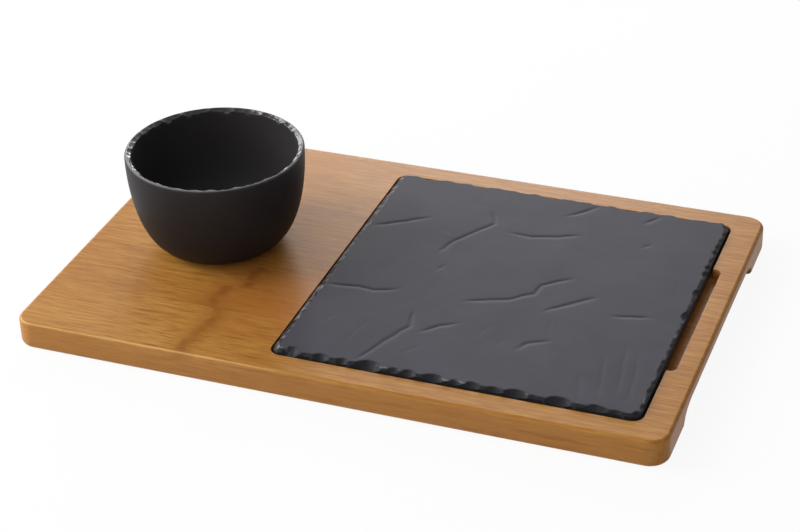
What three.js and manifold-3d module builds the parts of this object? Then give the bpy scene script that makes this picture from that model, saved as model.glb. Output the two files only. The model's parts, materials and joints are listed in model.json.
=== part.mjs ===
// Bamboo serving tray: a glued-up bamboo board, a slate-look plate set into it and a bowl that stands on it.
// Millimetres, +Z up. The origin is the centre of the board's underside, and +X runs to the plate's end.

import * as THREE from 'three';
import { mergeVertices } from 'three/addons/utils/BufferGeometryUtils.js';
import Module from 'manifold-3d';

// Board
const BOARD_LENGTH = 360;
const BOARD_WIDTH = 230;
const BOARD_THICKNESS = 16;
const BOARD_CORNER_RADIUS = 11;
const TOP_EDGE_ROUND = 2;
const BOTTOM_EDGE_ROUND = 3;

// Bamboo strips: the top and bottom layers have this thickness, and the core layer fills the rest
const STRIP_WIDTH = 23;
const FACE_LAYER_THICKNESS = 5.25;

// Plate
const PLATE_SIZE = 198;
const PLATE_THICKNESS = 8;
const PLATE_CORNER_RADIUS = 5;
const PLATE_FOOT_CHAMFER = 1.5;

// Recess that the plate drops into
const PLATE_CLEARANCE = 1.25;
const RECESS_DEPTH = 5.5;
const RECESS_END_MARGIN = 16.5;

// Finger notch in the recess wall, beside the plate
const NOTCH_LENGTH = 103;
const NOTCH_REACH = 5;
const NOTCH_CORNER_RADIUS = 3.5;

// Finger grip scooped out under the plate's end of the board
const GRIP_LENGTH = 124;
const GRIP_END_SWEEP = 16;
const GRIP_REACH = 18;
const GRIP_LIP = 6;

// Knapped edge of the plate: a bevel along the top edge with scars of flakes struck off. A front flake has
// its place from the middle of the edge, its width and its reach, and the other sides have a range of both
const EDGE_BEVEL = 1.8;
const FLAKE_STANDOFF = 2;
const FLAKE_SLOPE = 0.65;
const FRONT_FLAKES = [
  [-88, 9, 5.5], [-71, 9, 3.8], [-59.5, 7, 3.2], [-45, 13.5, 5.5], [-31, 8, 3.2],
  [-23, 8.5, 4], [-9.5, 11, 4.2], [2.5, 7, 2.8], [11.5, 8.5, 3.8], [24, 9.5, 3.2],
  [35, 12.5, 4.2], [57, 13.5, 4.6], [76.5, 13, 3.4], [87.5, 6.5, 2.6],
];
const SIDE_FLAKES = { least: [5, 2.2], largest: [12, 4] };
const BACK_FLAKES = { least: [11, 2], largest: [24, 4] };
const FLAKE_LAP = 0.12;
const FLAKE_SIDE_SHIFT = 30;
const CORNER_FLAKE_WIDTH = 11;
const CORNER_FLAKE_REACH = 3;

// Cleft valleys in the plate's top, as points on the plate measured from its centre
const CLEFT_WIDTH = 5;
const CLEFT_DEPTH = 0.5;
const CLEFT_LAP = 1.5;
const CLEFTS = [
  [[-96, 37], [-66, 54]],
  [[-34, 74], [-28, 59], [-39, 50], [-49, 20]],
  [[-40, 9], [-42, 0]],
  [[-16, 52], [0, 54], [21, 60]],
  [[9, 80], [26, 95]],
  [[56, 58], [62, 67]],
  [[-19, -23], [7, -10], [14, 0], [16, 9], [29, 16]],
  [[7, -13], [28, -8], [47, 4]],
  [[-93, -30], [-74, -26], [-55, -22]],
  [[-41, -36], [-39, -54], [-53, -92]],
  [[-10, -46], [-31, -59]],
  [[39, -41], [20, -60]],
  [[59, -14], [83, -10]],
];

// Bowl
const BOWL_RADIUS = 50;
const BOWL_HEIGHT = 58;
const BOWL_WALL = 3.5;
const BOWL_FLOOR = 5;
const BOWL_FOOT_RADIUS = 22.6;
const BOWL_FOOT_RING = 4;
const BOWL_FOOT_HOLLOW = 1;
const BOWL_OUTER_FULLNESS = 0.75;
const BOWL_INNER_FULLNESS = 0.4;

// Facets
const CORNER_SEGMENTS = 8;
const TOP_ROUND_SEGMENTS = 4;
const BOTTOM_ROUND_SEGMENTS = 6;
const GRIP_SEGMENTS = 14;
const FLAKE_SEGMENTS = [28, 14];
const BOWL_TURN_SEGMENTS = 56;
const BOWL_WALL_SEGMENTS = 12;
const BOWL_RIM_SEGMENTS = 4;
const CUT_OVERRUN = 1;
const MERGE_DISTANCE = 1e-4;
const GOLDEN_SHARE = 0.618034;

// Finishes
const BAMBOO = { color: 0xb98545, roughness: 0.5, metalness: 0 };
const BAMBOO_SHADE_SPREAD = 0.12;
const PLATE_WARE = { color: 0x57565c, roughness: 0.45, metalness: 0 };
const BOWL_WARE = { color: 0x262425, roughness: 0.6, metalness: 0 };

// Places that follow from the sizes
const boardEnd = BOARD_LENGTH / 2;
const recessSize = PLATE_SIZE + 2 * PLATE_CLEARANCE;
const recessRight = boardEnd - RECESS_END_MARGIN;
const recessLeft = recessRight - recessSize;
const recessCentre = (recessLeft + recessRight) / 2;
const recessFloor = BOARD_THICKNESS - RECESS_DEPTH;
const recessCornerRadius = PLATE_CORNER_RADIUS + PLATE_CLEARANCE;
const bareEndCentre = (recessLeft - boardEnd) / 2;
const gripHeight = BOARD_THICKNESS - GRIP_LIP;
const coreLow = FACE_LAYER_THICKNESS;
const coreHigh = BOARD_THICKNESS - FACE_LAYER_THICKNESS;
const stripCount = Math.ceil(BOARD_WIDTH / STRIP_WIDTH);

const wasm = await Module();
wasm.setup();

// Closed solid with the shape of a geometry, for cutting
function solidOf(geometry) {
  const bare = geometry.clone();
  bare.deleteAttribute('normal');
  bare.deleteAttribute('uv');
  const merged = mergeVertices(bare, MERGE_DISTANCE);
  const vertProperties = merged.attributes.position.array;
  const triVerts = Uint32Array.from(merged.index.array);
  return new wasm.Manifold(new wasm.Mesh({ numProp: 3, vertProperties, triVerts }));
}

// Geometry with the shape of a solid
function geometryOf(solid) {
  const mesh = solid.getMesh();
  const geometry = new THREE.BufferGeometry();
  geometry.setAttribute('position', new THREE.BufferAttribute(mesh.vertProperties, mesh.numProp));
  geometry.setIndex(new THREE.BufferAttribute(mesh.triVerts, 1));
  geometry.computeVertexNormals();
  return geometry;
}

function namedMesh(name, geometry, finish) {
  const mesh = new THREE.Mesh(geometry, new THREE.MeshStandardMaterial(finish));
  mesh.name = name;
  return mesh;
}

// Even but irregular spread of values from 0 to 1, one for each whole number
function spread(index) {
  return (index * GOLDEN_SHARE) % 1;
}

function roundedRectangle(length, width, radius) {
  const [x, y] = [length / 2, width / 2];
  const shape = new THREE.Shape();
  shape.absarc(x - radius, y - radius, radius, 0, Math.PI / 2);
  shape.absarc(radius - x, y - radius, radius, Math.PI / 2, Math.PI);
  shape.absarc(radius - x, radius - y, radius, Math.PI, Math.PI * 1.5);
  shape.absarc(x - radius, radius - y, radius, Math.PI * 1.5, Math.PI * 2);
  return shape;
}

// Upright prism of a shape between two heights
function prism(shape, low, high) {
  const options = { depth: high - low, bevelEnabled: false, curveSegments: CORNER_SEGMENTS };
  return new THREE.ExtrudeGeometry(shape, options).translate(0, 0, low);
}

// Upright prism whose top and bottom edges are rounded, or bevelled with one segment
function edgedPrism(shape, low, high, edge, segments, drop = edge) {
  const options = {
    depth: high - low - 2 * drop,
    curveSegments: CORNER_SEGMENTS,
    bevelThickness: drop,
    bevelSize: edge,
    bevelOffset: -edge,
    bevelSegments: segments,
  };
  return new THREE.ExtrudeGeometry(shape, options).translate(0, 0, low + drop);
}

// Prism along X, from a section drawn in Y and Z
function lengthwisePrism(section, start, end, segments) {
  const options = { depth: end - start, bevelEnabled: false, curveSegments: segments };
  const [x, y, z] = [new THREE.Vector3(1, 0, 0), new THREE.Vector3(0, 1, 0), new THREE.Vector3(0, 0, 1)];
  const turn = new THREE.Matrix4().makeBasis(y, z, x);
  return new THREE.ExtrudeGeometry(section, options).applyMatrix4(turn).translate(start, 0, 0);
}

// Board blank: rounded corners, a small round along the top edge and a fuller one along the bottom
function boardBlank() {
  const outline = roundedRectangle(BOARD_LENGTH, BOARD_WIDTH, BOARD_CORNER_RADIUS);
  const reach = 2 * BOARD_THICKNESS;
  const below = BOARD_THICKNESS - reach;
  const topped = edgedPrism(outline, below, BOARD_THICKNESS, TOP_EDGE_ROUND, TOP_ROUND_SEGMENTS);
  const bottomed = edgedPrism(outline, 0, reach, BOTTOM_EDGE_ROUND, BOTTOM_ROUND_SEGMENTS);
  return solidOf(topped).intersect(solidOf(bottomed));
}

// Recess for the plate, with the finger notch in its end wall
function recessCutter() {
  const above = BOARD_THICKNESS + CUT_OVERRUN;
  const square = roundedRectangle(recessSize, recessSize, recessCornerRadius);
  const notch = roundedRectangle(2 * NOTCH_REACH, NOTCH_LENGTH, NOTCH_CORNER_RADIUS);
  const squareBar = prism(square, recessFloor, above).translate(recessCentre, 0, 0);
  const notchBar = prism(notch, recessFloor, above).translate(recessRight, 0, 0);
  return solidOf(squareBar).add(solidOf(notchBar));
}

// Grip: a cove along the lower end edge that runs out in a sweep at both ends
function gripCutter() {
  const cove = new THREE.Shape();
  cove.absellipse(boardEnd, 0, GRIP_REACH, gripHeight, 0, Math.PI * 2);
  const coveOptions = { depth: BOARD_WIDTH, bevelEnabled: false, curveSegments: GRIP_SEGMENTS * 2 };
  const coveBar = new THREE.ExtrudeGeometry(cove, coveOptions).rotateX(Math.PI / 2);
  coveBar.translate(0, BOARD_WIDTH / 2, 0);

  const arch = new THREE.Shape();
  const archHalf = GRIP_LENGTH / 2;
  arch.absellipse(archHalf, 0, GRIP_END_SWEEP, gripHeight, -Math.PI / 2, Math.PI / 2);
  arch.absellipse(-archHalf, 0, GRIP_END_SWEEP, gripHeight, Math.PI / 2, Math.PI * 1.5);
  const [inside, outside] = [boardEnd - GRIP_REACH - CUT_OVERRUN, boardEnd + CUT_OVERRUN];
  const archBar = lengthwisePrism(arch, inside, outside, GRIP_SEGMENTS);

  const plan = roundedRectangle(2 * GRIP_REACH, GRIP_LENGTH + 2 * GRIP_END_SWEEP, GRIP_END_SWEEP);
  const planBar = prism(plan, -gripHeight, gripHeight).translate(boardEnd, 0, 0);
  return solidOf(coveBar).intersect(solidOf(archBar)).intersect(solidOf(planBar));
}

// Side of a strip, counted from the front of the board
function stripEdge(index) {
  return (index - stripCount / 2) * STRIP_WIDTH;
}

// Bar that holds one strip of a layer, or a stretch of it
function stripBar(index, [low, high], [start, end]) {
  const section = new THREE.Shape();
  section.moveTo(stripEdge(index), low);
  section.lineTo(stripEdge(index + 1), low);
  section.lineTo(stripEdge(index + 1), high);
  section.lineTo(stripEdge(index), high);
  return solidOf(lengthwisePrism(section, start, end, 1));
}

// Whether the recess cuts a top strip in two
function isSevered(index) {
  const inside = Math.max(-stripEdge(index), stripEdge(index + 1)) <= recessSize / 2;
  return inside && RECESS_DEPTH >= FACE_LAYER_THICKNESS;
}

function bambooFinish(index) {
  const shade = 1 + BAMBOO_SHADE_SPREAD * (spread(index + 1) - 0.5);
  return { ...BAMBOO, color: new THREE.Color(BAMBOO.color).multiplyScalar(shade) };
}

// The board's strips: three layers, each strip cut from the routed board
function boardStrips() {
  const board = boardBlank().subtract(recessCutter()).subtract(gripCutter());
  const group = new THREE.Group();
  const addStrip = (layer, index, bar) => {
    const name = `${layer}_strip_${String(index + 1).padStart(2, '0')}`;
    const shade = bambooFinish(group.children.length);
    group.add(namedMesh(name, geometryOf(board.intersect(bar)), shade));
  };
  const [leftEnd, rightEnd] = [-boardEnd - CUT_OVERRUN, boardEnd + CUT_OVERRUN];
  const bottomLayer = [-CUT_OVERRUN, coreLow];
  const coreLayer = [coreLow, coreHigh];
  const topLayer = [coreHigh, BOARD_THICKNESS + CUT_OVERRUN];
  for (let index = 0; index < stripCount; index++) {
    addStrip('bottom', index, stripBar(index, bottomLayer, [leftEnd, rightEnd]));
    addStrip('core', index, stripBar(index, coreLayer, [leftEnd, rightEnd]));
    if (isSevered(index)) {
      addStrip('top', index, stripBar(index, topLayer, [leftEnd, recessCentre]));
      addStrip('rim', index, stripBar(index, topLayer, [recessCentre, rightEnd]));
    } else {
      addStrip('top', index, stripBar(index, topLayer, [leftEnd, rightEnd]));
    }
  }
  return group;
}

// Scar of one flake on an edge that runs along X, with the ware at +Y and below: a dish cut by an ellipsoid
function flakeScar(width, reach) {
  const standoff = FLAKE_STANDOFF * reach;
  const radius = Math.hypot(reach + standoff, standoff);
  const halfLength = width / 2 / Math.sqrt(1 - 2 * (standoff / radius) ** 2);
  const ball = new THREE.SphereGeometry(1, ...FLAKE_SEGMENTS).rotateZ(Math.PI / 2);
  return ball.scale(halfLength, radius, radius).translate(0, -standoff, standoff).scale(1, 1, FLAKE_SLOPE);
}

// Flakes side by side along an edge, of ever-changing width and reach
function flakesBetween({ least, largest }, firstIndex) {
  const flakes = [];
  const half = PLATE_SIZE / 2 - PLATE_CORNER_RADIUS;
  let start = -half;
  for (let index = firstIndex; start < half; index++) {
    const [width, reach] = least.map((size, axis) => size + spread(index) * (largest[axis] - size));
    flakes.push([start + width / 2, width, reach]);
    start += width * (1 - FLAKE_LAP);
  }
  return flakes;
}

// Scars of the flakes along all four sides of the plate: front, right, back and left
function sideFlakes() {
  const sides = [FRONT_FLAKES, ...[SIDE_FLAKES, BACK_FLAKES, SIDE_FLAKES].map(
    (sizes, index) => flakesBetween(sizes, (index + 1) * FLAKE_SIDE_SHIFT),
  )];
  return sides.flatMap((flakes, side) => flakes.map(([place, width, reach]) => {
    const scar = flakeScar(width, reach).translate(place, -PLATE_SIZE / 2, PLATE_THICKNESS);
    return scar.rotateZ(side * Math.PI / 2);
  }));
}

function cornerFlakes() {
  const corner = PLATE_SIZE / 2 - PLATE_CORNER_RADIUS;
  const distance = Math.SQRT2 * corner + PLATE_CORNER_RADIUS;
  return [1, 3, 5, 7].map((eighth) => {
    const scar = flakeScar(CORNER_FLAKE_WIDTH, CORNER_FLAKE_REACH).translate(0, -distance, PLATE_THICKNESS);
    return scar.rotateZ(eighth * Math.PI / 4);
  });
}

// Shallow pointed valley between two points of a cleft
function cleftValley([x1, y1], [x2, y2]) {
  const halfLength = Math.hypot(x2 - x1, y2 - y1) / 2 + CLEFT_LAP;
  const valley = new THREE.OctahedronGeometry(1).scale(halfLength, CLEFT_WIDTH / 2, CLEFT_DEPTH);
  valley.rotateZ(Math.atan2(y2 - y1, x2 - x1));
  return valley.translate((x1 + x2) / 2, (y1 + y2) / 2, PLATE_THICKNESS);
}

// Plate: a square slab with a chamfered foot, a cleft top and a knapped edge
function plateSolid() {
  const outline = roundedRectangle(PLATE_SIZE, PLATE_SIZE, PLATE_CORNER_RADIUS);
  const reach = 2 * PLATE_THICKNESS;
  const below = PLATE_THICKNESS - reach;
  const footed = edgedPrism(outline, 0, reach, PLATE_FOOT_CHAMFER, 1);
  const bevelled = edgedPrism(outline, below, PLATE_THICKNESS, EDGE_BEVEL, 1, EDGE_BEVEL * FLAKE_SLOPE);
  const slab = solidOf(footed).intersect(solidOf(bevelled));
  const cuts = [
    ...CLEFTS.flatMap((cleft) => cleft.slice(1).map((point, index) => cleftValley(cleft[index], point))),
    ...sideFlakes(),
    ...cornerFlakes(),
  ];
  return cuts.reduce((solid, cut) => solid.subtract(solidOf(cut)), slab);
}

// Bowl: a full round wall on a small foot ring, turned about Z
function bowlGeometry() {
  const profile = [new THREE.Vector2(0, BOWL_FOOT_HOLLOW)];
  const point = (radius, height) => profile.push(new THREE.Vector2(radius, height));
  const rimRadius = BOWL_WALL / 2;
  const wallTop = BOWL_HEIGHT - rimRadius;
  const ringInside = BOWL_FOOT_RADIUS - BOWL_FOOT_RING;
  point(ringInside - BOWL_FOOT_HOLLOW, BOWL_FOOT_HOLLOW);
  point(ringInside, 0);
  for (let step = 0; step <= BOWL_WALL_SEGMENTS; step++) {
    const angle = (step / BOWL_WALL_SEGMENTS) * Math.PI / 2;
    const bulge = Math.sin(angle) ** BOWL_OUTER_FULLNESS;
    point(BOWL_FOOT_RADIUS + (BOWL_RADIUS - BOWL_FOOT_RADIUS) * bulge, wallTop * (1 - Math.cos(angle)));
  }
  for (let step = 1; step < BOWL_RIM_SEGMENTS; step++) {
    const angle = (step / BOWL_RIM_SEGMENTS) * Math.PI;
    point(BOWL_RADIUS - rimRadius + rimRadius * Math.cos(angle), wallTop + rimRadius * Math.sin(angle));
  }
  for (let step = BOWL_WALL_SEGMENTS; step > 0; step--) {
    const angle = (step / BOWL_WALL_SEGMENTS) * Math.PI / 2;
    const bulge = Math.sin(angle) ** BOWL_INNER_FULLNESS;
    point((BOWL_RADIUS - BOWL_WALL) * bulge, BOWL_FLOOR + (wallTop - BOWL_FLOOR) * (1 - Math.cos(angle)));
  }
  point(0, BOWL_FLOOR);
  return new THREE.LatheGeometry(profile, BOWL_TURN_SEGMENTS).rotateX(Math.PI / 2);
}

const tray = new THREE.Group();
tray.name = 'serving_tray';
tray.add(boardStrips());

const plate = namedMesh('inset_plate', geometryOf(plateSolid()), PLATE_WARE);
plate.position.set(recessCentre, 0, recessFloor);
tray.add(plate);

const bowl = namedMesh('dip_bowl', bowlGeometry(), BOWL_WARE);
bowl.position.set(bareEndCentre, 0, BOARD_THICKNESS);
tray.add(bowl);

export default tray;
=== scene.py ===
"""Looks of a bamboo serving tray: a glued-up bamboo board, a slate-look plate set in it and a dip bowl.

Metres, +Z up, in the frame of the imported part: the origin is the centre of the board's underside.
The plate and the bowl are shaped in millimetres, and then scaled and set in place.
"""

import json
import logging
import math
from dataclasses import dataclass, field
from enum import Enum

import bmesh
import bpy
import numpy as np
from mathutils import Matrix, Vector, noise


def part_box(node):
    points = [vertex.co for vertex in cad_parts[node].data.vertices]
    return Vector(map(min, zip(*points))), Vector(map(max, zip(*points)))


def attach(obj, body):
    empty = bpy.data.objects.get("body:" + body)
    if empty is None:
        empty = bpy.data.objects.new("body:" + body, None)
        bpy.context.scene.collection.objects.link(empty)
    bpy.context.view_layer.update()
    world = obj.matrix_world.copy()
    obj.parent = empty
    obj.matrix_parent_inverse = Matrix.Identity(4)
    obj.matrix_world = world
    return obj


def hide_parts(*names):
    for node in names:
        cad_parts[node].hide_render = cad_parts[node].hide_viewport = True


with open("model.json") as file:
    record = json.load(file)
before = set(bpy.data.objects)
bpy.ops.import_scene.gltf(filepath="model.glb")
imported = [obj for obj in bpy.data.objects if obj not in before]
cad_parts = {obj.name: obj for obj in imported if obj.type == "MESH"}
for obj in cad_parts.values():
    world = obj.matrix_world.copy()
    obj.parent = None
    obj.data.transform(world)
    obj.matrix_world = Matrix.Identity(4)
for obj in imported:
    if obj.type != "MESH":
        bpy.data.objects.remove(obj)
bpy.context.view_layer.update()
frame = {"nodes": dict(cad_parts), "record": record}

Array = np.ndarray
Shape = bmesh.types.BMesh
Node = bpy.types.Node
Socket = bpy.types.NodeSocket
Colour = tuple[float, float, float, float]
Point = tuple[float, float]
Range = tuple[float, float]
Lines = tuple[tuple[Point, ...], ...]

LOG = logging.getLogger("serving_tray")
MM = 0.001
GOLDEN_SHARE = 0.618034
MIDDLE = 0.5
WHITE: Colour = (1.0, 1.0, 1.0, 1.0)

# Places of the colour sockets on a Mix node, which share their names with others
MIX_SHARE = 0
MIX_FIRST = 6
MIX_SECOND = 7
MIX_RESULT = 2


def srgb(red: int, green: int, blue: int) -> Colour:
    """Linear colour, with alpha, of the eight-bit values that a screen shows."""
    shares = [value / 255 for value in (red, green, blue)]
    linear = [s / 12.92 if s <= 0.04045 else ((s + 0.055) / 1.055) ** 2.4 for s in shares]
    return (*linear, 1.0)


def spread(index: int, step: int = 1, start: int = 0) -> float:
    """Even but irregular value from 0 to 1 for a whole number."""
    return ((index * step + start) * GOLDEN_SHARE) % 1


def pick(limits: Range, index: int, step: int = 1, start: int = 0) -> float:
    """Even but irregular value within limits for a whole number."""
    low, high = limits
    return low + (high - low) * spread(index, step, start)


def smoothstep(low: float, high: float, value: Array) -> Array:
    """Smooth rise of an array from 0 at low to 1 at high."""
    share = np.clip((value - low) / (high - low), 0, 1)
    return share * share * (3 - 2 * share)


def bell(centre: float, width: float, value: Array) -> Array:
    """Smooth peak of an array, 1 at the centre."""
    return np.exp(-((value - centre) / width) ** 2)


@dataclass(frozen=True)
class Ripple:
    """Smooth noise over a plane: the size of its largest ripples, its ever-finer layers and its seed."""

    size: float
    layers: int
    seed: float
    falloff: float = 1.0
    refinement: float = 2.0

    def over(self, points: Array) -> Array:
        """Value at each point, a row of two coordinates, mostly from -1 to 1."""
        places = np.full((len(points), 3), self.seed)
        places[:, :2] += points / self.size
        character = (self.falloff, self.refinement, self.layers)
        return np.array([noise.fractal(Vector(place), *character) for place in places])

    def patches(self, points: Array, gain: float, base: float) -> Array:
        """Noise at points, stretched by a gain about a base and kept from 0 to 1."""
        return np.clip(gain * self.over(points) + base, 0, 1)


def strayed(points: Array, ripples: tuple[Ripple, Ripple], reach: float) -> Array:
    """Points moved about by one ripple along X and another along Y."""
    return points + reach * np.stack([ripple.over(points) for ripple in ripples], axis=1)


class Number:
    """A shader socket that holds a number, with arithmetic that adds Math nodes."""

    def __init__(self, shader: "Shader", socket: Socket) -> None:
        """Keep the socket and the shader that its Math nodes go into."""
        self.shader = shader
        self.socket = socket

    def math(self, operation: str, *others: "Number | float") -> "Number":
        """Result of a Math node that has this number as its first input."""
        inputs = dict(enumerate((self, *others)))
        made = self.shader.node("ShaderNodeMath", {"operation": operation}, inputs)
        return Number(self.shader, made.outputs["Value"])

    def __add__(self, other: "Number | float") -> "Number":
        """Sum."""
        return self.math("ADD", other)

    __radd__ = __add__

    def __sub__(self, other: "Number | float") -> "Number":
        """Difference."""
        return self.math("SUBTRACT", other)

    def __rsub__(self, other: float) -> "Number":
        """Difference from a plain number."""
        return self.math("MULTIPLY_ADD", -1.0, other)

    def __mul__(self, other: "Number | float") -> "Number":
        """Product."""
        return self.math("MULTIPLY", other)

    __rmul__ = __mul__

    def __truediv__(self, other: "Number | float") -> "Number":
        """Quotient."""
        return self.math("DIVIDE", other)

    def __abs__(self) -> "Number":
        """Size without the sign."""
        return self.math("ABSOLUTE")

    def between(self, low: float, high: float) -> "Number":
        """Smooth rise from 0 at low to 1 at high."""
        settings = {"interpolation_type": "SMOOTHSTEP"}
        sockets = {"Value": self, "From Min": low, "From Max": high}
        made = self.shader.node("ShaderNodeMapRange", settings, sockets)
        return Number(self.shader, made.outputs["Result"])

    def within(self, rise: Range, fall: Range) -> "Number":
        """Smooth rise from 0 to 1 over one range and fall back to 0 over another."""
        return self.between(*rise) * (1 - self.between(*fall))


Triple = tuple[Number, Number, Number]
Coat = tuple[Number, Colour]


@dataclass(frozen=True)
class Weave:
    """Layer of shader noise: ripples per metre along X and across it, fineness, and weight in a mix."""

    along: float
    across: float
    detail: float = 2.0
    roughness: float = 0.5
    weight: float = 1.0


class Shader:
    """Node tree of a material or of the world."""

    def __init__(self, owner: bpy.types.Material | bpy.types.World) -> None:
        """Start an empty node tree on a material or a world."""
        owner.use_nodes = True
        self.tree = owner.node_tree
        self.tree.nodes.clear()

    def node(self, kind: str, settings: dict | None = None, sockets: dict | None = None) -> Node:
        """Add a node.

        Args:
            kind: the node's type.
            settings: its properties, set first; "stops" are a ramp's places and colours.
            sockets: values or links of its inputs, by name or index.

        Returns:
            The node.
        """
        made = self.tree.nodes.new(kind)
        for name, value in (settings or {}).items():
            if name == "stops":
                self._set_stops(made.color_ramp, value)
            else:
                setattr(made, name, value)
        for key, value in (sockets or {}).items():
            source = value.socket if isinstance(value, Number) else value
            if isinstance(source, Socket):
                self.tree.links.new(source, made.inputs[key])
            else:
                made.inputs[key].default_value = source
        return made

    @staticmethod
    def _set_stops(ramp: bpy.types.ColorRamp, stops: list[tuple[float, Colour]]) -> None:
        """Give a colour ramp its stops."""
        while len(ramp.elements) < len(stops):
            ramp.elements.new(1.0)
        for element, (place, colour) in zip(ramp.elements, stops):
            element.position = place
            element.color = colour

    def coordinates(self, kind: str) -> Triple:
        """X, Y and Z of a kind of texture coordinates, such as Object, which are metres."""
        place = self.node("ShaderNodeTexCoord").outputs[kind]
        split = self.node("ShaderNodeSeparateXYZ", {}, {"Vector": place})
        return tuple(Number(self, output) for output in split.outputs)

    def attribute(self, name: str) -> Number:
        """Number that the mesh stores at its vertices."""
        return Number(self, self.node("ShaderNodeAttribute", {"attribute_name": name}).outputs["Fac"])

    def weave(self, layer: Weave, place: Triple) -> Number:
        """Noise of one layer, from 0 to 1, at coordinates in metres."""
        x, y, z = place
        scaled = {"X": x * layer.along, "Y": y * layer.across, "Z": z * layer.across}
        sockets = {
            "Vector": self.node("ShaderNodeCombineXYZ", {}, scaled).outputs["Vector"],
            "Scale": 1.0,
            "Detail": layer.detail,
            "Roughness": layer.roughness,
        }
        return Number(self, self.node("ShaderNodeTexNoise", {}, sockets).outputs[0])

    def stray(self, layer: Weave, place: Triple) -> Number:
        """Noise of one layer about 0, times the layer's weight."""
        return (self.weave(layer, place) - MIDDLE) * layer.weight

    def coated(self, colour: Colour | Socket, coats: list[Coat]) -> Socket:
        """Colour under coats that are laid over it in order, each with the share of it that covers."""
        for share, coat in coats:
            sockets = {MIX_SHARE: share, MIX_FIRST: colour, MIX_SECOND: coat}
            colour = self.node("ShaderNodeMix", {"data_type": "RGBA"}, sockets).outputs[MIX_RESULT]
        return colour

    def ramp(self, value: Number, stops: list[tuple[float, Colour]]) -> Socket:
        """Colour of a number by a ramp of stops."""
        return self.node("ShaderNodeValToRGB", {"stops": stops}, {"Fac": value}).outputs["Color"]

    def bump(self, height: Number, strength: float, distance: float) -> Socket:
        """Normal of a fine relief."""
        sockets = {"Height": height, "Strength": strength, "Distance": distance}
        return self.node("ShaderNodeBump", {}, sockets).outputs["Normal"]

    def surface(self, sockets: dict) -> None:
        """Finish the material with a Principled surface that has these sockets."""
        principled = self.node("ShaderNodeBsdfPrincipled", {}, sockets)
        self.node("ShaderNodeOutputMaterial", {}, {"Surface": principled.outputs["BSDF"]})


@dataclass(frozen=True)
class Mark:
    """Range over which something sets in, and the share of it that is mixed in."""

    low: float
    high: float
    share: float

    def on(self, number: Number) -> Number:
        """Smooth rise from 0 at low to the share at high."""
        return number.between(self.low, self.high) * self.share


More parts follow.
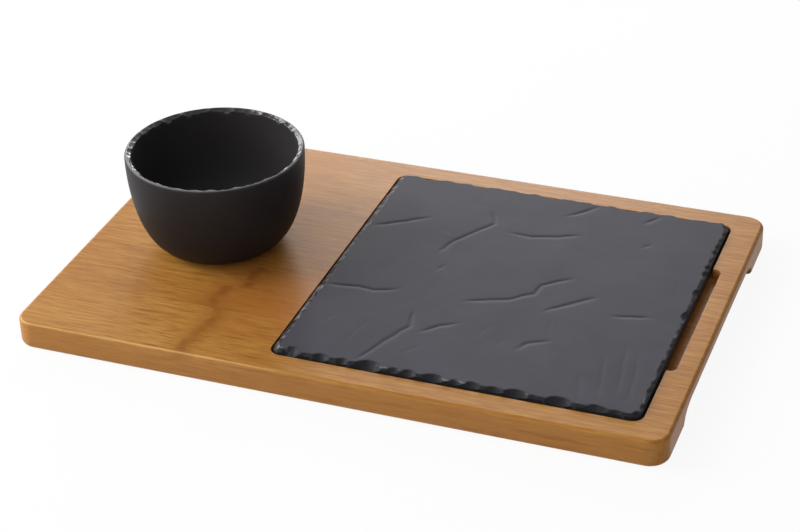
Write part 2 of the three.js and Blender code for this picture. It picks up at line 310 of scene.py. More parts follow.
@dataclass(frozen=True)
class BambooFinish:
    """Oiled bamboo: fibres along X, slanting knuckle bands, glue lines, paler sides and end grain."""

    # Colours
    dark: Colour = srgb(150, 94, 38)
    tan: Colour = srgb(170, 115, 48)
    pale: Colour = srgb(187, 135, 65)
    light: Colour = srgb(206, 152, 82)
    fleck: Colour = srgb(140, 84, 32)
    knuckle: Colour = srgb(138, 80, 37)
    # orange wood beyond the knuckle bands, and partly painted shade and reflection of the bowl on the
    # strips in front of it
    warm_and_bowl_shade: Colour = srgb(172, 100, 46)
    side: Colour = srgb(170, 122, 73)
    end: Colour = srgb(162, 104, 52)
    # painted highlight: a pale colour along the rounded top edges, where light catches them
    edge_highlight: Colour = srgb(232, 194, 132)
    glue: Colour = srgb(120, 70, 20)

    # Grain
    streaks: Weave = Weave(20, 320, 3.0, 0.6, weight=0.85)
    rays: Weave = Weave(75, 700, 2.0, 0.6, weight=0.9)
    fibres: Weave = Weave(60, 1500, 2.0, 0.6, weight=0.75)
    clouds: Weave = Weave(7, 26, weight=0.45)
    tone_weight: float = 0.06
    grain_level: float = -1.005
    grain_stops: tuple[float, float, float] = (0.15, 0.5, 0.85)
    dashes: Weave = Weave(110, 2100, 1.0)
    fleck_dashes: Range = (0.58, 0.75)
    fleck_share: float = 0.35

    # Knuckle bands, and the wood round them; the orange beyond a band is orange wood and, in front of
    # the bowl, partly painted shade and reflection of the bowl
    slant: float = 0.03
    wander: Weave = Weave(40, 110, weight=9 * MM)
    bend: Weave = Weave(9, 24, weight=6 * MM)
    swirl: Weave = Weave(150, 180, weight=9 * MM)
    band_reach: Range = (1 * MM, 14 * MM)
    band_rays: Mark = Mark(0.4, 0.65, 0.5)
    core_reach: Range = (0.5 * MM, 4.5 * MM)
    core_streaks: Mark = Mark(0.35, 0.6, 0.7)
    pale_before: tuple[Range, Range] = ((-70 * MM, -20 * MM), (-8 * MM, 2 * MM))
    pale_after: tuple[Range, Range] = ((2 * MM, 10 * MM), (24 * MM, 44 * MM))
    pale_rays: Mark = Mark(0.3, 0.6, 0.4)
    pale_loss: float = 0.7
    warm_rise: Range = (-2 * MM, 26 * MM)
    warm_fall: Range = (34 * MM, 64 * MM)
    warm_lead: float = 22 * MM
    warm_clouds: float = 0.5
    warm_rays: Mark = Mark(0.35, 0.7, 0.5)

    # End grain, long sides, painted highlight along the rounded top edges, and glue lines
    end_facing: Range = (0.55, 0.95)
    end_share: float = 0.35
    end_rays: float = 0.5
    side_facing: Range = (0.7, 0.98)
    side_share: float = 0.1
    side_streaks: float = 0.9
    side_flecks: Mark = Mark(0.52, 0.7, 0.55)
    edge_facing_up: Range = (0.6, 0.8)
    edge_facing_out: Range = (0.15, 0.45)
    edge_highlight_fade: Range = (-70 * MM, 10 * MM)
    edge_highlight_share: float = 0.45
    strip_width: float = 23 * MM
    seam_width: Range = (0.002, 0.012)
    seam_share: float = 0.22

    # Surface
    roughness: float = 0.33
    fibre_roughness: float = 0.1
    fleck_roughness: float = 0.08
    specular: float = 0.12
    fibre_relief: float = 0.6
    mark_relief: float = 0.5
    relief: Point = (0.3, 0.12 * MM)

    def material(self) -> bpy.types.Material:
        """Make the material that all the strips share."""
        made = bpy.data.materials.new("oiled_bamboo")
        shader = Shader(made)
        x, y, z = shader.coordinates("Object")
        tone, shift, knuckle, warmth_and_shade, figure = (
            shader.attribute(name) for name in ("tone", "shift", "knuckle", "warmth_and_shade", "figure")
        )
        straight = (x + shift, y, z)
        beyond = x - y * self.slant - knuckle + shader.stray(self.wander, straight)
        near_knuckle = 1 - abs(beyond).between(*self.band_reach)
        bend, swirl = (shader.stray(layer, straight) for layer in (self.bend, self.swirl))
        bent = (straight[0], y + bend + swirl * near_knuckle, z)
        streak, ray, fibre, dash = (
            shader.weave(layer, bent) for layer in (self.streaks, self.rays, self.fibres, self.dashes)
        )
        broad = shader.weave(self.clouds, straight)
        fleck = dash.between(*self.fleck_dashes)
        grain = streak * self.streaks.weight + ray * self.rays.weight + fibre * self.fibres.weight
        grain = grain + broad * self.clouds.weight + tone * self.tone_weight + self.grain_level

        beside = beyond.within(*self.pale_before) + beyond.within(*self.pale_after)
        paler = beside * (1 - warmth_and_shade * self.pale_loss) * figure
        # orange zone beyond the knuckle band: orange wood, partly painted shade of the bowl
        reached = (beyond + warmth_and_shade * self.warm_lead).between(*self.warm_rise)
        warm_and_bowl_shade = reached * (1 - beyond.between(*self.warm_fall)) * warmth_and_shade
        core = 1 - abs(beyond).between(*self.core_reach)

        along, out, up = shader.coordinates("Normal")
        end = abs(along).between(*self.end_facing)
        side = abs(out).between(*self.side_facing)
        # rounded top edges, and how far along X the painted highlight on them reaches
        rounded = up.between(*self.edge_facing_up) * abs(out).between(*self.edge_facing_out)
        highlight_along = 1 - x.between(*self.edge_highlight_fade)
        seam_place = (y / self.strip_width).math("FRACT")
        seam = 1 - (MIDDLE - abs(seam_place - MIDDLE)).between(*self.seam_width)

        colour = shader.ramp(grain, list(zip(self.grain_stops, (self.dark, self.tan, self.pale))))
        coats = [
            (fleck * self.fleck_share, self.fleck),
            (paler * self.pale_rays.on(ray), self.light),
            # orange wood, and partly painted shade of the bowl
            (warm_and_bowl_shade * (broad * self.warm_clouds + self.warm_rays.on(ray)), self.warm_and_bowl_shade),
            (near_knuckle * self.band_rays.on(ray), self.knuckle),
            (core * self.core_streaks.on(streak), self.knuckle),
            (end * (ray * self.end_rays + self.end_share), self.end),
            (side * (streak * self.side_streaks + self.side_share), self.side),
            (side * self.side_flecks.on(streak), self.fleck),
            # painted highlight along the rounded top edges, fading out towards +X
            (rounded * highlight_along * self.edge_highlight_share, self.edge_highlight),
            (seam * (broad * self.seam_share), self.glue),
        ]
        height = fibre * self.fibre_relief + (streak - fleck - seam) * self.mark_relief
        shader.surface({
            "Base Color": shader.coated(colour, coats),
            "Roughness": self.roughness + fibre * self.fibre_roughness + fleck * self.fleck_roughness,
            "Specular IOR Level": self.specular,
            "Normal": shader.bump(height, *self.relief),
        })
        return made


@dataclass(frozen=True)
class StonewareFinish:
    """Dark satin stoneware with a fine speckle, glossier in the scars of flakes, and with pale painted
    light where highlights and lit chips are.
    """

    name: str
    body: Colour
    shade: Colour
    scar: Colour
    painted_light_colour: Colour
    roughness: float
    scar_gloss: float
    specular: float
    clouds: Weave = Weave(40, 40, 4.0, 0.55)
    grit: Weave = Weave(1500, 1500, 2.0, 0.6, weight=0.7)
    specks: Weave = Weave(3800, 3800, 1.0, weight=0.3)
    shade_clouds: Mark = Mark(0.3, 0.7, 0.6)
    shade_grit: float = 0.25
    scar_share: float = 0.7
    scar_grit: float = 0.3
    painted_light_share: float = 0.6
    painted_light_grit: float = 0.8
    grit_roughness: float = 0.12
    scar_roughness: float = 0.2
    relief: Point = (0.3, 0.08 * MM)

    def material(self) -> bpy.types.Material:
        """Make the material of one stoneware piece."""
        made = bpy.data.materials.new(self.name)
        shader = Shader(made)
        place = shader.coordinates("Object")
        scarred = shader.attribute("scar")
        cloud, grit, speck = (
            shader.weave(layer, place) for layer in (self.clouds, self.grit, self.specks)
        )
        coats = [
            (self.shade_clouds.on(cloud) + grit * self.shade_grit, self.shade),
            (scarred * (grit * self.scar_grit + self.scar_share), self.scar),
            # painted light: a pale colour laid where highlights and lit chips are
            (shader.attribute("painted_light") * (grit * self.painted_light_grit + self.painted_light_share), self.painted_light_colour),
        ]
        height = grit * self.grit.weight + speck * self.specks.weight
        shader.surface({
            "Base Color": shader.coated(self.body, coats),
            "Roughness": self.roughness + (grit - MIDDLE) * self.grit_roughness,
            "Specular IOR Level": self.specular,
            "Coat Weight": scarred * self.scar_gloss,
            "Coat Roughness": self.scar_roughness,
            "Normal": shader.bump(height, *self.relief),
        })
        return made


def finished_object(name: str, shape: Shape, sharp_angle: float) -> bpy.types.Object:
    """Turn a bmesh into a smooth-shaded object at the origin.

    Args:
        name: the piece's name.
        shape: the bmesh, which is freed.
        sharp_angle: edges that turn by more than this, in radians, stay sharp.

    Returns:
        The new object, linked to the scene.
    """
    for face in shape.faces:
        face.smooth = True
    for edge in shape.edges:
        edge.smooth = edge.calc_face_angle(0.0) < sharp_angle
    mesh = bpy.data.meshes.new(name)
    shape.to_mesh(mesh)
    shape.free()
    piece = bpy.data.objects.new(name, mesh)
    bpy.context.scene.collection.objects.link(piece)
    return piece


def store(piece: bpy.types.Object, name: str, values: Array | float) -> None:
    """Store a number at each vertex of a piece, for its finish to read."""
    count = len(piece.data.vertices)
    attribute = piece.data.attributes.new(name, "FLOAT", "POINT")
    attribute.data.foreach_set("value", np.broadcast_to(values, count).astype(np.float32))


def seat(piece: bpy.types.Object, body: str, node: str, material: bpy.types.Material) -> None:
    """Dress a piece and let it ride on its body in place of its CAD node."""
    piece.data.materials.append(material)
    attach(piece, body)
    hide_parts(node)
    LOG.info("%s rides on %s, %d faces", piece.name, body, len(piece.data.polygons))


class Layer(Enum):
    """Layers of bamboo strips, by the first word of their nodes' names."""

    BOTTOM = "bottom"
    CORE = "core"
    TOP = "top"
    RIM = "rim"


@dataclass
class BambooBoard:
    """Board of glued bamboo strips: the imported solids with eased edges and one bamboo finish."""

    body: str = "board"
    slot: str = "bamboo"
    finish: BambooFinish = field(default_factory=BambooFinish)
    layer_joints: tuple[float, float] = (5.25 * MM, 10.75 * MM)
    outermost_joint: float = 4.5
    joint_tolerance: float = 0.01 * MM
    joint_facing: float = 0.999
    merge_distance: float = 0.001 * MM
    flat_angle: float = math.radians(0.2)
    edge_ease: float = 0.4 * MM
    ease_segments: int = 2
    ease_angle: float = math.radians(40)
    sharp_angle: float = math.radians(38)
    top_knuckles: tuple[float, ...] = (-78 * MM, -76 * MM, -82 * MM, -73 * MM)
    # the strips just in front of the bowl are the most orange: partly painted shade of the bowl
    top_warmth_and_shade: tuple[float, ...] = (0.1, 0.45, 1.0, 1.0)
    hidden_knuckle: float = -126 * MM
    side_knuckles: tuple[float, float] = (-46 * MM, 97 * MM)
    inner_knuckle_span: float = 0.3
    far_away: float = 1.0
    plain_warmth: float = 0.5
    plain_figure: float = 0.25

    def build(self) -> None:
        """Make and dress every strip."""
        material = self.finish.material()
        for order, node in enumerate(frame["record"]["behaviour"]["bodies"][self.body]):
            piece = self._strip(node)
            layer = Layer(node.split("_")[0])
            number = int(node.split("_")[-1])
            store(piece, "tone", spread(order, start=1))
            store(piece, "shift", spread(order, step=3, start=2))
            store(piece, "knuckle", self._knuckle(layer, number))
            store(piece, "warmth_and_shade", self._warmth_and_shade(layer, number))
            store(piece, "figure", 1.0 if layer is Layer.TOP else self.plain_figure)
            seat(piece, self.body, node, material)

    def _knuckle(self, layer: Layer, number: int) -> float:
        """Place of a strip's knuckle band along X.

        Args:
            layer: the strip's layer.
            number: the strip's number from the front.

        Returns:
            The place where the slanting band would cross the board's middle line.
        """
        if layer is Layer.TOP:
            in_view = number <= len(self.top_knuckles)
            return self.top_knuckles[number - 1] if in_view else self.hidden_knuckle
        if layer is Layer.RIM:
            return self.far_away
        if number == 1:
            return self.side_knuckles[0 if layer is Layer.CORE else 1]
        return (spread(number, step=4, start=len(layer.value)) - MIDDLE) * self.inner_knuckle_span

    def _warmth_and_shade(self, layer: Layer, number: int) -> float:
        """How orange a strip is beyond its knuckle band, from 0 to 1; on the strips in front of the bowl
        this is partly painted shade of the bowl.
        """
        if layer is Layer.TOP and number <= len(self.top_warmth_and_shade):
            return self.top_warmth_and_shade[number - 1]
        return self.plain_warmth

    def _strip(self, node: str) -> bpy.types.Object:
        """Copy a strip's solid, merged, with its routed and outer edges eased."""
        shape = bmesh.new()
        shape.from_mesh(frame["nodes"][node].data)
        bmesh.ops.remove_doubles(shape, verts=shape.verts, dist=self.merge_distance)
        bmesh.ops.dissolve_limit(
            shape, angle_limit=self.flat_angle, verts=shape.verts, edges=shape.edges, delimit=set()
        )
        bmesh.ops.bevel(
            shape, geom=[edge for edge in shape.edges if self._is_eased(edge)], offset=self.edge_ease,
            offset_type="OFFSET", segments=self.ease_segments, profile=0.5, affect="EDGES", material=-1,
            clamp_overlap=True,
        )
        piece = finished_object(f"{node}_wood", shape, self.sharp_angle)
        weighted = piece.modifiers.new("flat_faces", "WEIGHTED_NORMAL")
        weighted.keep_sharp = True
        return piece

    def _is_eased(self, edge: bmesh.types.BMEdge) -> bool:
        """Whether an edge is a sharp one on the outside of the board."""
        if not edge.is_manifold or not edge.is_convex or edge.calc_face_angle(0.0) < self.ease_angle:
            return False
        return not any(self._is_glued(face) for face in edge.link_faces)

    def _is_glued(self, face: bmesh.types.BMFace) -> bool:
        """Whether a face lies in a glue joint between two strips."""
        place = face.calc_center_median()
        if abs(face.normal.y) > self.joint_facing:
            steps = place.y / self.finish.strip_width
            off_joint = abs(steps - round(steps)) * self.finish.strip_width
            return off_joint < self.joint_tolerance and abs(steps) < self.outermost_joint
        if abs(face.normal.z) > self.joint_facing:
            return any(abs(place.z - joint) < self.joint_tolerance for joint in self.layer_joints)
        return False


@dataclass
class InsetPlate:
    """Square slate-look plate with cleft valleys in its top and a knapped edge, in millimetres."""

    node: str = "inset_plate"
    body: str = "plate"
    slot: str = "plate_ware"
    finish: StonewareFinish = StonewareFinish(
        name="plate_stoneware",
        body=srgb(64, 62, 71),
        shade=srgb(56, 54, 62),
        # flake scars coloured near black: painted shade on the chipped edges, which face away from the
        # lights
        scar=srgb(9, 8, 10),
        # pale painted light for the highlights and the lit left edge
        painted_light_colour=srgb(158, 156, 163),
        roughness=0.66,
        scar_gloss=0.07,
        specular=0.2,
    )
    corner_radius: float = 5.0
    foot_chamfer: float = 1.5
    sharp_angle: float = math.radians(50)
    grid_counts: tuple[int, ...] = (6, 5, 150, 5, 6)
    flake_zone: float = 10.0
    refined_zones: tuple[Point, ...] = ((7.0, 3.4), (0.0, 1.9))

    # Flakes: place, width and reach at the front, limits of width and of reach at the other sides
    front_flakes: tuple[tuple[float, float, float], ...] = (
        (-88, 9, 5.5), (-71, 9, 3.8), (-59.5, 7, 3.2), (-45, 13.5, 5.5), (-31, 8, 3.2),
        (-23, 8.5, 4), (-9.5, 11, 4.2), (2.5, 7, 2.8), (11.5, 8.5, 3.8), (24, 9.5, 3.2),
        (35, 12.5, 4.2), (57, 13.5, 4.6), (76.5, 13, 3.4), (87.5, 6.5, 2.6),
    )
    front_stretch: float = 1.3
    side_flakes: tuple[Range, Range] = ((5, 12), (2.2, 4))
    back_flakes: tuple[Range, Range] = ((11, 24), (2, 4))
    corner_flake: Point = (11, 3)
    right_reach: Range = (0.4, 1.0)
    other_reach: Range = (1.0, 1.0)
    reach_draw: int = 7
    flake_lap: float = 0.12
    flake_side_shift: int = 30
    standoff: float = 2.0
    slope: float = 0.65
    flake_noise: tuple[Ripple, Ripple] = (Ripple(7.0, 2, 2.2), Ripple(7.0, 2, 6.8))
    flake_stray: float = 0.5

    # Clefts
    clefts: Lines = (
        ((-94, 36), (-85, 41), (-64, 55)), ((-33, 72), (-28, 59), (-36, 46), (-43, 34), (-49, 18)),
        ((-39, 8), (-43, -1)), ((-18, 52), (-4, 51), (11, 55), (23, 61)), ((8, 78), (24, 95)),
        ((52, 83), (61, 95)), ((58, 57), (64, 64)), ((-19, -25), (4, -16), (16, -6), (17, 4), (33, 16)),
        ((25, -22), (37, -10), (50, 1)), ((-96, -31), (-77, -28), (-68, -29), (-54, -23)),
        ((-40, -41), (-37, -56), (-45, -75), (-53, -95)), ((-12, -45), (-23, -51), (-31, -61)),
        ((38, -46), (27, -54), (22, -62)), ((60, -15), (72, -12), (83, -10)),
    )
    faint_clefts: Lines = (
        ((-57, 45), (-45, 40)), ((-45, 76), (-35, 76)), ((62, 43), (65, 48)), ((23, 64), (24, 55)),
        ((3, -41), (0, -56)), ((16, -50), (12, -62)), ((32, -26), (35, -42)), ((-84, -69), (-77, -56)),
        ((68, -52), (75, -90)), ((76, -40), (83, -84)), ((84, -46), (90, -88)), ((60, -70), (66, -94)),
        ((86, 30), (88, 16)), ((-60, -56), (-66, -84)), ((-24, -70), (-34, -84)),
    )
    faintness: float = 0.24
    cleft_noise: tuple[Ripple, Ripple] = (Ripple(14.0, 2, 5.2), Ripple(14.0, 2, 9.4))
    cleft_stray: float = 1.0
    cleft_fade: Range = (-2.0, 9.0)
    back_reach: float = 2.2
    front_reach: float = 3.4
    cleft_depth: float = 0.37
    cleft_steepness: float = 1.5
    cleft_sag: float = 0.12
    sag_reach: float = 5.0
    cleft_lip: Point = (1.3, 0.8)
    # painted highlight on the front lip of each cleft
    cleft_lip_highlight: float = 0.07

    # Swell of the top, bevel of its edge and ripples in the scars
    swell: float = 0.3
    swell_noise: Ripple = Ripple(50.0, 3, 3.7)
    edge_bevel: float = 1.8
    bevel_noise: Ripple = Ripple(6.0, 2, 8.1)
    bevel_waver: float = 0.4
    left_bevel: float = 1.6
    left_zone: Range = (86.0, 95.0)
    ring_height: float = 0.06
    ring_rate: float = 4.2
    ring_noise: Ripple = Ripple(6.0, 2, 1.3)
    ring_waver: float = 2.0
    chatter: float = 0.09
    chatter_noise: Ripple = Ripple(2.4, 1, 7.7)

    # Scars, and painted light: highlights on the flake ridges and a lit left edge
    scar_depth: Range = (-0.05, 0.2)
    ridge_depth: Point = (0.15, 0.2)
    specks: Ripple = Ripple(7.0, 1, 4.4)
    speck_level: Point = (3.0, -0.3)
    speck_zone: Range = (1.8, 3.2)
    # painted highlight: pale specks on the flake ridges near the outline
    speck_highlight: float = 0.75
    spots: Ripple = Ripple(4.0, 2, 6.1)
    spot_level: Point = (1.8, 0.2)
    # painted light on the left edge's ridges and scars, which face the lights
    left_ridge_light: float = 0.6
    left_scar_light: float = 0.42

    def build(self) -> None:
        """Make and dress the plate."""
        low, high = (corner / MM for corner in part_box(self.node))
        self.half = (high.x - low.x) / 2
        self.thickness = high.z - low.z
        centre = Vector(((low.x + high.x) / 2, (low.y + high.y) / 2, low.z))

        shape = bmesh.new()
        count = sum(self.grid_counts)
        bmesh.ops.create_grid(shape, x_segments=count, y_segments=count, size=1.0)
        plan = self._plan(np.array([vertex.co[:2] for vertex in shape.verts]))
        for vertex, place in zip(shape.verts, plan):
            vertex.co = (*place, 0)
        self._refine(shape)
        height, scar, painted_light = self._top(np.array([vertex.co[:2] for vertex in shape.verts]))
        for vertex, level in zip(shape.verts, height):
            vertex.co.z = level
        self._add_side_and_foot(shape)
        bmesh.ops.translate(shape, verts=shape.verts, vec=centre)
        bmesh.ops.scale(shape, verts=shape.verts, vec=(MM, MM, MM))
        bmesh.ops.recalc_face_normals(shape, faces=shape.faces)

        piece = finished_object("slate_look_plate", shape, self.sharp_angle)
        for name, marks in (("scar", scar), ("painted_light", painted_light)):
            below = np.zeros(len(piece.data.vertices) - len(marks))
            store(piece, name, np.concatenate([marks, below]))
        seat(piece, self.body, self.node, self.finish.material())

    def _plan(self, square: Array) -> Array:
        """Plan of the grid: fine cells along the edges and round corners.

        Args:
            square: the grid's points, from -1 to 1.

        Returns:
            The same points on the plate, from its centre.
        """
        count = sum(self.grid_counts)
        stops = np.concatenate([[0], np.cumsum(self.grid_counts)])
        inner = self.half - self.flake_zone
        flat = self.half - self.corner_radius
        places = [-self.half, -flat, -inner, inner, flat, self.half]
        plan = np.interp((square + 1) / 2 * count, stops, places)
        corner = np.clip(np.abs(plan) - flat, 0, None) / self.corner_radius
        rounded = corner * np.sqrt(1 - corner[:, ::-1] ** 2 / 2) * self.corner_radius
        in_corner = (corner > 0).all(axis=1)[:, None]
        return np.where(in_corner, np.sign(plan) * (flat + rounded), plan)

    def _refine(self, shape: Shape) -> None:
        """Halve the flat grid's cells near the outline and near the clefts."""
        for edge_zone, cleft_zone in self.refined_zones:
            centres = np.array([face.calc_center_median()[:2] for face in shape.faces])
            fine = (self._inward(centres) < edge_zone) | (self._cleft_lines(centres)[0] < cleft_zone)
            edges = {edge for face, chosen in zip(shape.faces, fine) if chosen for edge in face.edges}
            bmesh.ops.subdivide_edges(shape, edges=list(edges), cuts=1, use_grid_fill=True)

    def _inward(self, plan: Array) -> Array:
        """Distance of points from the plate's rounded outline, inwards."""
        beyond = np.abs(plan) - (self.half - self.corner_radius)
        outside = np.hypot(*np.clip(beyond, 0, None).T)
        return self.corner_radius - outside - np.minimum(beyond.max(axis=1), 0)

    def _top(self, plan: Array) -> tuple[Array, Array, Array]:
        """Shape of the plate's top.

        Args:
            plan: points on the plate.

        Returns:
            Height above the plate's underside, share of flake scar and share of painted light at each
            point.
        """
        inward = self._inward(plan)
        left = smoothstep(*self.left_zone, -plan[:, 0])
        depth, painted_light = self._cleft_relief(plan)
        sunk = self.swell * (1 + np.clip(self.swell_noise.over(plan), -1, 1)) / 2
        height = self.thickness - sunk - depth
        waver = 1 + self.bevel_waver * self.bevel_noise.over(plan)
        bevel = self.edge_bevel * waver + self.left_bevel * left
        cut = np.minimum(self._flake_cut(plan), self.thickness - self.slope * (bevel - inward))
        scar = smoothstep(*self.scar_depth, height - cut)
        ridge = bell(*self.ridge_depth, height - cut)
        # painted highlight specks on the ridges near the outline
        speck = self.specks.patches(plan, *self.speck_level) * (1 - smoothstep(*self.speck_zone, inward))
        spot = self.spots.patches(plan, *self.spot_level)
        # painted light: highlights on the ridges, and the left edge's ridges and scars lit pale
        painted_light = painted_light + ridge * (self.speck_highlight * (1 - left) * speck + self.left_ridge_light * left * spot)
        painted_light = painted_light + self.left_scar_light * left * scar * spot
        rings = np.sin(inward * self.ring_rate + self.ring_waver * self.ring_noise.over(plan))
        scar_level = cut + self.ring_height * rings + self.chatter * self.chatter_noise.over(plan)
        return np.minimum(height, scar_level), scar, np.clip(painted_light, 0, 1)

    def _cleft_lines(self, plan: Array) -> tuple[Array, Array, Array]:
        """Where points lie against the nearest cleft line.

        Args:
            plan: points on the plate.

        Returns:
            Distance from the line, whether the point is on its front right, and how far the line has
            faded in.
        """
        places = strayed(plan, self.cleft_noise, self.cleft_stray)
        distance = np.full(len(plan), np.inf)
        front = np.zeros(len(plan), bool)
        strength = np.zeros(len(plan))
        marked = [(cleft, 1.0) for cleft in self.clefts]
        marked += [(cleft, self.faintness) for cleft in self.faint_clefts]
        for cleft, weight in marked:
            stretches = list(zip(cleft, cleft[1:]))
            lengths = [math.dist(start, end) for start, end in stretches]
            run = 0.0
            for (start, end), length in zip(stretches, lengths):
                line = (np.array(end) - start) / length
                along = np.clip((places - start) @ line, 0, length)
                across = places - start - np.outer(along, line)
                away = np.hypot(*across.T)
                to_end = np.minimum(run + along, sum(lengths) - run - along)
                faded = weight * smoothstep(*self.cleft_fade, to_end)
                nearest = away < distance
                distance = np.where(nearest, away, distance)
                front = np.where(nearest, across[:, 0] > across[:, 1], front)
                strength = np.where(nearest, faded, strength)
                run += length
        return distance, front, strength

    def _cleft_relief(self, plan: Array) -> tuple[Array, Array]:
        """Cleft valleys, with a steep side at the back and a gentle side at the front, whose lip gets a
        painted highlight.

        Args:
            plan: points on the plate.

        Returns:
            Depth and share of painted highlight at each point.
        """
        distance, front, strength = self._cleft_lines(plan)
        reach = np.where(front, self.front_reach, self.back_reach)
        groove = np.clip(1 - distance / reach, 0, None) ** self.cleft_steepness
        sag = np.exp(-distance / self.sag_reach)
        depth = strength * (self.cleft_depth * groove + self.cleft_sag * sag)
        lip = bell(*self.cleft_lip, distance)
        # painted highlight on the front lip of each cleft
        return depth, np.where(front, self.cleft_lip_highlight * strength * lip, 0)

    def _flakes(self) -> list[tuple[int, float, float, float]]:
        """Side or corner in eighths of a turn, place, width and reach of every flake."""
        flakes = [
            (0, place, width * self.front_stretch, reach) for place, width, reach in self.front_flakes
        ]
        flat = self.half - self.corner_radius
        sides = (
            (self.side_flakes, self.right_reach),
            (self.back_flakes, self.other_reach),
            (self.side_flakes, self.other_reach),
        )
        for side, (limits, share) in enumerate(sides, start=1):
            start = -flat
            index = side * self.flake_side_shift
            while start < flat:
                width, reach = (pick(limit, index) for limit in limits)
                reach *= pick(share, index, self.reach_draw)
                flakes.append((2 * side, start + width / 2, width, reach))
                start += width * (1 - self.flake_lap)
                index += 1
        return flakes + [(eighth, 0.0, *self.corner_flake) for eighth in (1, 3, 5, 7)]

    def _flake_cut(self, plan: Array) -> Array:
        """Height of the lowest flake dish over each point, far above the plate where there is none."""
        cut = np.full(len(plan), 2 * self.thickness)
        flat = self.half - self.corner_radius
        corner_distance = math.sqrt(2) * flat + self.corner_radius
        places = strayed(plan, self.flake_noise, self.flake_stray)
        for eighth, place, width, reach in self._flakes():
            angle = -eighth * math.pi / 4
            turn = np.array([[math.cos(angle), -math.sin(angle)], [math.sin(angle), math.cos(angle)]])
            turned = places @ turn.T
            edge = corner_distance if eighth % 2 else self.half
            standoff = self.standoff * reach
            radius = math.hypot(reach + standoff, standoff)
            half_length = width / 2 / math.sqrt(1 - 2 * (standoff / radius) ** 2)
            along = (turned[:, 0] - place) / half_length
            inward = (turned[:, 1] + edge + standoff) / radius
            room = 1 - along ** 2 - inward ** 2
            dish = standoff - radius * np.sqrt(np.clip(room, 0, None))
            level = np.where(room > 0, self.thickness + self.slope * dish, cut)
            cut = np.minimum(cut, level)
        return cut

    def _add_side_and_foot(self, shape: Shape) -> None:
        """Extrude the top's outline down to a chamfered foot and close it below."""
        flat = self.half - self.corner_radius
        rim = [edge for edge in shape.edges if edge.is_boundary]
        for level, inset in ((self.foot_chamfer, 0.0), (0.0, self.foot_chamfer)):
            grown = bmesh.ops.extrude_edge_only(shape, edges=rim)["geom"]
            rim = [item for item in grown if isinstance(item, bmesh.types.BMEdge)]
            for vertex in (item for item in grown if isinstance(item, bmesh.types.BMVert)):
                core = Vector([max(-flat, min(flat, value)) for value in vertex.co[:2]])
                outward = (vertex.co.xy - core).normalized()
                vertex.co = (*(vertex.co.xy - outward * inset), level)
        bmesh.ops.contextual_create(shape, geom=rim)


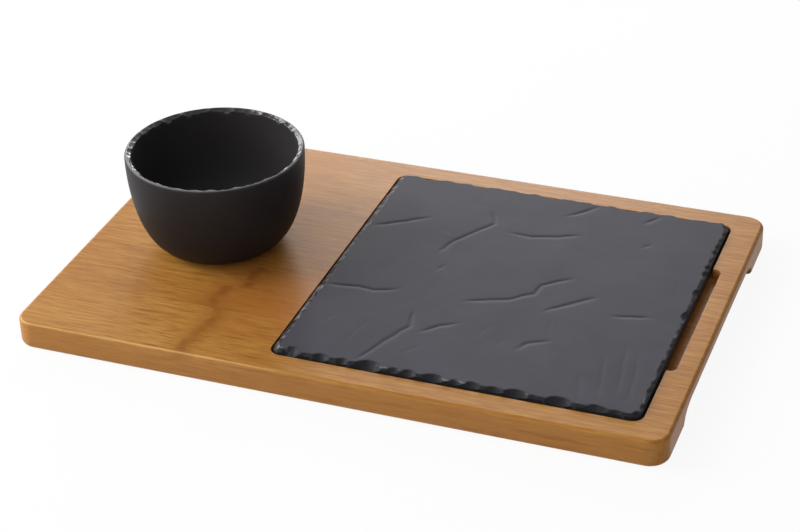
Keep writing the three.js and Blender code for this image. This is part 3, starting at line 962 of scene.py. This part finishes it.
@dataclass
class DipBowl:
    """Round bowl of dark stoneware with a chipped inner rim, in millimetres."""

    node: str = "dip_bowl"
    body: str = "bowl"
    slot: str = "bowl_ware"
    finish: StonewareFinish = StonewareFinish(
        name="bowl_stoneware",
        body=srgb(35, 31, 31),
        shade=srgb(29, 26, 27),
        scar=srgb(40, 38, 42),
        # pale painted light for the rim's highlight and the inside
        painted_light_colour=srgb(150, 148, 152),
        roughness=0.54,
        scar_gloss=0.9,
        specular=0.18,
    )
    wall: float = 3.5
    floor: float = 5.0
    foot_radius: float = 22.6
    foot_ring: float = 4.0
    foot_hollow: float = 1.0
    outer_fullness: float = 0.75
    inner_fullness: float = 0.4
    turn_steps: int = 480
    wall_steps: int = 30
    rim_steps: int = 16
    merge_distance: float = 0.001
    sharp_angle: float = math.radians(60)
    rim_zone: float = 10.5
    chip_pitch: float = 6.4
    chip_stray: float = 0.7
    chip_width: Range = (6.0, 10.0)
    chip_reach: Range = (0.6, 0.95)
    chip_lean: Range = (46.0, 64.0)
    chip_draws: tuple[int, int, int] = (5, 3, 7)
    chip_curve: float = 7.0
    crest_drop: Range = (0.7, 0.25)
    # painted highlight along the rim's crest
    rim_highlight: float = 0.5
    inside_facing: float = 0.01
    inside_margin: float = 0.1
    # painted light that lifts the shaded inside of the bowl
    inside_light: float = 0.04

    def build(self) -> None:
        """Make and dress the bowl."""
        low, high = (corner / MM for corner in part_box(self.node))
        self.radius = (high.x - low.x) / 2
        self.height = high.z - low.z
        centre = Vector(((low.x + high.x) / 2, (low.y + high.y) / 2, low.z))

        shape = bmesh.new()
        outline = [shape.verts.new((radius, 0, height)) for radius, height in self._profile()]
        edges = [shape.edges.new(pair) for pair in zip(outline, outline[1:])]
        turn = {"cent": (0, 0, 0), "axis": (0, 0, 1), "angle": math.tau, "steps": self.turn_steps}
        bmesh.ops.spin(shape, geom=[*outline, *edges], use_merge=True, **turn)
        bmesh.ops.remove_doubles(shape, verts=shape.verts, dist=self.merge_distance)
        bmesh.ops.recalc_face_normals(shape, faces=shape.faces)
        scar, painted_light = self._chip_rim(shape)
        bmesh.ops.translate(shape, verts=shape.verts, vec=centre)
        bmesh.ops.scale(shape, verts=shape.verts, vec=(MM, MM, MM))

        piece = finished_object("round_dip_bowl", shape, self.sharp_angle)
        store(piece, "scar", scar)
        store(piece, "painted_light", painted_light)
        seat(piece, self.body, self.node, self.finish.material())

    def _profile(self) -> list[Point]:
        """Half section from the axis under the foot, over the rim, to the axis inside."""
        rim = self.wall / 2
        wall_top = self.height - rim
        ring_inside = self.foot_radius - self.foot_ring
        hollow = self.foot_hollow
        points = [(0.0, hollow), (ring_inside - hollow, hollow), (ring_inside, 0.0)]
        quarter = [step / self.wall_steps * math.pi / 2 for step in range(self.wall_steps + 1)]
        for angle in quarter:
            bulge = math.sin(angle) ** self.outer_fullness
            points.append((
                self.foot_radius + (self.radius - self.foot_radius) * bulge,
                wall_top * (1 - math.cos(angle)),
            ))
        for step in range(1, self.rim_steps):
            angle = step / self.rim_steps * math.pi
            points.append((self.radius - rim + rim * math.cos(angle), wall_top + rim * math.sin(angle)))
        for angle in reversed(quarter):
            bulge = math.sin(angle) ** self.inner_fullness
            points.append((
                (self.radius - self.wall) * bulge,
                self.floor + (wall_top - self.floor) * (1 - math.cos(angle)),
            ))
        return points

    def _chip_rim(self, shape: Shape) -> tuple[Array, Array]:
        """Press chips into the inner rim all round, and paint a highlight on the crest that they leave
        and painted light on the inside.

        Args:
            shape: the turned bowl, about its own axis.

        Returns:
            Share of chip and share of painted light at each vertex.
        """
        shape.verts.ensure_lookup_table()
        scar = np.zeros(len(shape.verts))
        near_rim = [vertex for vertex in shape.verts if vertex.co.z > self.height - self.rim_zone]
        count = round(math.tau * self.radius / self.chip_pitch)
        ranges = (self.chip_width, self.chip_reach, self.chip_lean)
        for index in range(count):
            angle = (index + self.chip_stray * spread(index)) / count * math.tau
            width, reach, lean = (
                pick(limits, index, step, start=1) for limits, step in zip(ranges, self.chip_draws)
            )
            self._press_chip(near_rim, angle, math.radians(lean), (width, reach), scar)
        level = np.array([vertex.co.z for vertex in shape.verts])
        crest = smoothstep(*(self.height - drop for drop in self.crest_drop), level)
        outward = np.array([vertex.normal.xy.dot(vertex.co.xy) for vertex in shape.verts])
        inside = (outward < self.inside_facing) & (level > self.floor - self.inside_margin)
        # painted highlight on the crest, and painted light inside where the bowl's own shade falls
        return scar, (self.rim_highlight * crest + self.inside_light * inside) * (1 - scar)

    def _press_chip(
        self, rim: list[bmesh.types.BMVert], angle: float, lean: float, size: Point, scar: Array
    ) -> None:
        """Push the rim's vertices out of one chip's flat ellipsoid.

        Args:
            rim: the vertices near the rim.
            angle: the chip's place round the bowl.
            lean: how far the chip faces up, from facing straight inwards.
            size: the chip's width and how deep it reaches.
            scar: share of chip at each vertex, raised here.
        """
        width, reach = size
        outward = Vector((math.cos(angle), math.sin(angle), 0))
        sideways = Vector((-outward.y, outward.x, 0))
        up = Vector((0, 0, 1))
        facing = up * math.sin(lean) - outward * math.cos(lean)
        ring = self.wall / 2
        deepest = outward * (self.radius - ring) + up * (self.height - ring) + facing * ring
        centre = deepest + facing * (self.chip_curve - reach)
        half_length = width / 2 / math.sqrt(2 * reach / self.chip_curve)
        for vertex in rim:
            away = vertex.co - centre
            depth = (away + sideways * (away.dot(sideways) * (self.chip_curve / half_length - 1))).length
            if depth < self.chip_curve:
                vertex.co = centre + away * (self.chip_curve / depth)
                scar[vertex.index] = 1.0


@dataclass(frozen=True)
class Softbox:
    """Square softbox that faces the tray: its name, place, side and power in watts."""

    name: str
    place: tuple[float, float, float]
    side: float
    power: float

    def hang(self) -> None:
        """Add the softbox to the scene."""
        lamp = bpy.data.lights.new(self.name, "AREA")
        lamp.size = self.side
        lamp.energy = self.power
        holder = bpy.data.objects.new(self.name, lamp)
        holder.location = self.place
        holder.rotation_euler = (-Vector(self.place)).to_track_quat("-Z", "Y").to_euler()
        bpy.context.scene.collection.objects.link(holder)


@dataclass
class Studio:
    """White studio: floor, soft lights, white surroundings and the camera of the photograph."""

    floor_size: float = 6.0
    floor_drop: float = 0.05 * MM
    floor_colour: Colour = srgb(246, 246, 246)
    floor_white: float = 0.92
    fill_strength: float = 0.33
    ceiling_height: Range = (0.5, 0.95)
    ceiling_shade: float = 0.6
    softboxes: tuple[Softbox, ...] = (
        Softbox("key_softbox", (-1.5, -0.3, 0.85), 1.0, 27.0),
        Softbox("glint_softbox", (-1.2, 0.8, 0.55), 0.7, 6.0),
        Softbox("back_softbox", (-0.46, 1.6, 0.62), 0.7, 14.0),
        Softbox("front_softbox", (-0.7, -1.4, 0.9), 1.6, 11.0),
    )
    focal_length: float = 96.488
    sensor_width: float = 36.0
    yaw: float = math.radians(21.36477)
    pitch: float = math.radians(31.37923)
    roll: float = math.radians(-1.82869)
    distance: float = 1193.380 * MM
    aim_right: float = -0.79 * MM
    aim_up: float = 14.855 * MM

    def build(self) -> None:
        """Make the floor, the lights, the world and the camera."""
        bpy.context.scene.view_settings.view_transform = "Standard"
        self._floor()
        self._world()
        for softbox in self.softboxes:
            softbox.hang()
        self._camera()

    @staticmethod
    def _seen_directly(shader: Shader) -> Number:
        """1 for rays from the camera, and in gloss or through glass, and 0 for light on the object."""
        path = shader.node("ShaderNodeLightPath")
        camera, glossy, through = (
            Number(shader, path.outputs[name])
            for name in ("Is Camera Ray", "Is Glossy Ray", "Is Transmission Ray")
        )
        return (camera + glossy + through).math("MINIMUM", 1.0)

    def _floor(self) -> None:
        """Lay a white floor that keeps a trace of the object's shadow."""
        shape = bmesh.new()
        bmesh.ops.create_grid(shape, x_segments=2, y_segments=2, size=self.floor_size / 2)
        bmesh.ops.translate(shape, verts=shape.verts, vec=(0, 0, -self.floor_drop))
        floor = finished_object("studio_floor", shape, math.pi)
        made = bpy.data.materials.new("white_floor")
        shader = Shader(made)
        matt = shader.node("ShaderNodeBsdfDiffuse", {}, {"Color": self.floor_colour})
        glow = shader.node("ShaderNodeEmission", {}, {"Color": WHITE, "Strength": 1.0})
        share = self._seen_directly(shader) * self.floor_white
        inputs = dict(enumerate((share, matt.outputs["BSDF"], glow.outputs["Emission"])))
        mixed = shader.node("ShaderNodeMixShader", {}, inputs)
        shader.node("ShaderNodeOutputMaterial", {}, {"Surface": mixed.outputs["Shader"]})
        floor.data.materials.append(made)

    def _world(self) -> None:
        """Surround the object with soft white light, seen as white, under a dimmer ceiling."""
        world = bpy.data.worlds.new("white_studio")
        bpy.context.scene.world = world
        shader = Shader(world)
        height = shader.coordinates("Generated")[2]
        dome = 1 - height.between(*self.ceiling_height) * self.ceiling_shade
        strength = dome * (self.fill_strength + self._seen_directly(shader) * (1 - self.fill_strength))
        white = shader.node("ShaderNodeBackground", {}, {"Color": WHITE, "Strength": strength})
        shader.node("ShaderNodeOutputWorld", {}, {"Surface": white.outputs["Background"]})

    def _camera(self) -> None:
        """Set up the camera where the photograph was taken from."""
        forward = Vector((
            -math.sin(self.yaw) * math.cos(self.pitch),
            math.cos(self.yaw) * math.cos(self.pitch),
            -math.sin(self.pitch),
        ))
        level = Vector((math.cos(self.yaw), math.sin(self.yaw), 0))
        upright = level.cross(forward)
        right = math.cos(self.roll) * level + math.sin(self.roll) * upright
        up = math.cos(self.roll) * upright - math.sin(self.roll) * level
        place = right * self.aim_right + up * self.aim_up - forward * self.distance
        optics = bpy.data.cameras.new("photo_camera")
        optics.lens = self.focal_length
        optics.sensor_width = self.sensor_width
        camera = bpy.data.objects.new("photo_camera", optics)
        axes = Matrix((right, up, -forward)).transposed()
        camera.matrix_world = Matrix.Translation(place) @ axes.to_4x4()
        bpy.context.scene.collection.objects.link(camera)
        bpy.context.scene.camera = camera


def main() -> None:
    """Build the studio and the tray, sub-assembly by sub-assembly."""
    logging.basicConfig(level=logging.INFO, format="%(name)s: %(message)s")
    Studio().build()
    for assembly in (BambooBoard(), InsetPlate(), DipBowl()):
        assembly.build()


if __name__ == "__main__":
    main()
